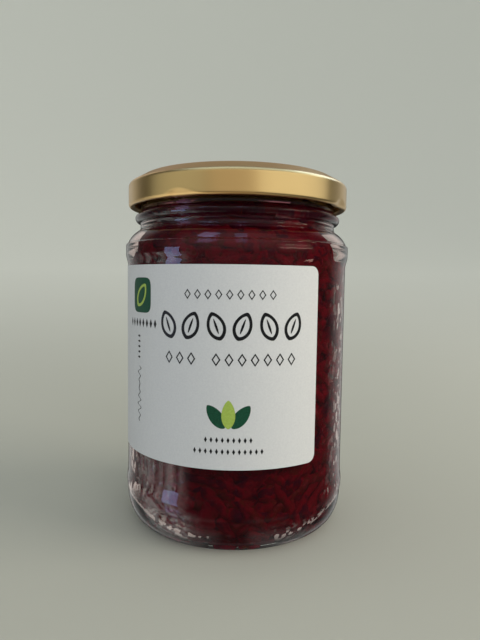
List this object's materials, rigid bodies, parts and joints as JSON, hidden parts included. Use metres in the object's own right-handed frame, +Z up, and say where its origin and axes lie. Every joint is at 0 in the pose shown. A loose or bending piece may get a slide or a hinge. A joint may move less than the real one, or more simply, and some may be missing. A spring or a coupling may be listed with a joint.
{
  "type": "jar of red cabbage",
  "caption": "Clear glass jar packed with shredded red cabbage, shut by a gold twist-off tinplate lid, with a wide white paper label wrapped round the body.",
  "frame": {"origin": "centre of the ring that the jar stands on, at the base", "axes": "+Z up along the jar's axis; -Y is the front, where the label's print faces; +X to the right of the print"},
  "size_m": [0.0874, 0.0874, 0.1332],
  "materials": {
    "clear_glass": "clear soda-lime glass, pressed and blown, smooth",
    "gold_tinplate": "tinplate under clear gold lacquer, satin",
    "label_paper": "smooth white label paper with black and green print",
    "red_cabbage": null
  },
  "bodies": {
    "root": {"glass_jar": "clear_glass", "lid": "gold_tinplate", "label": "label_paper", "red_cabbage": "red_cabbage"}
  },
  "joints": []
}
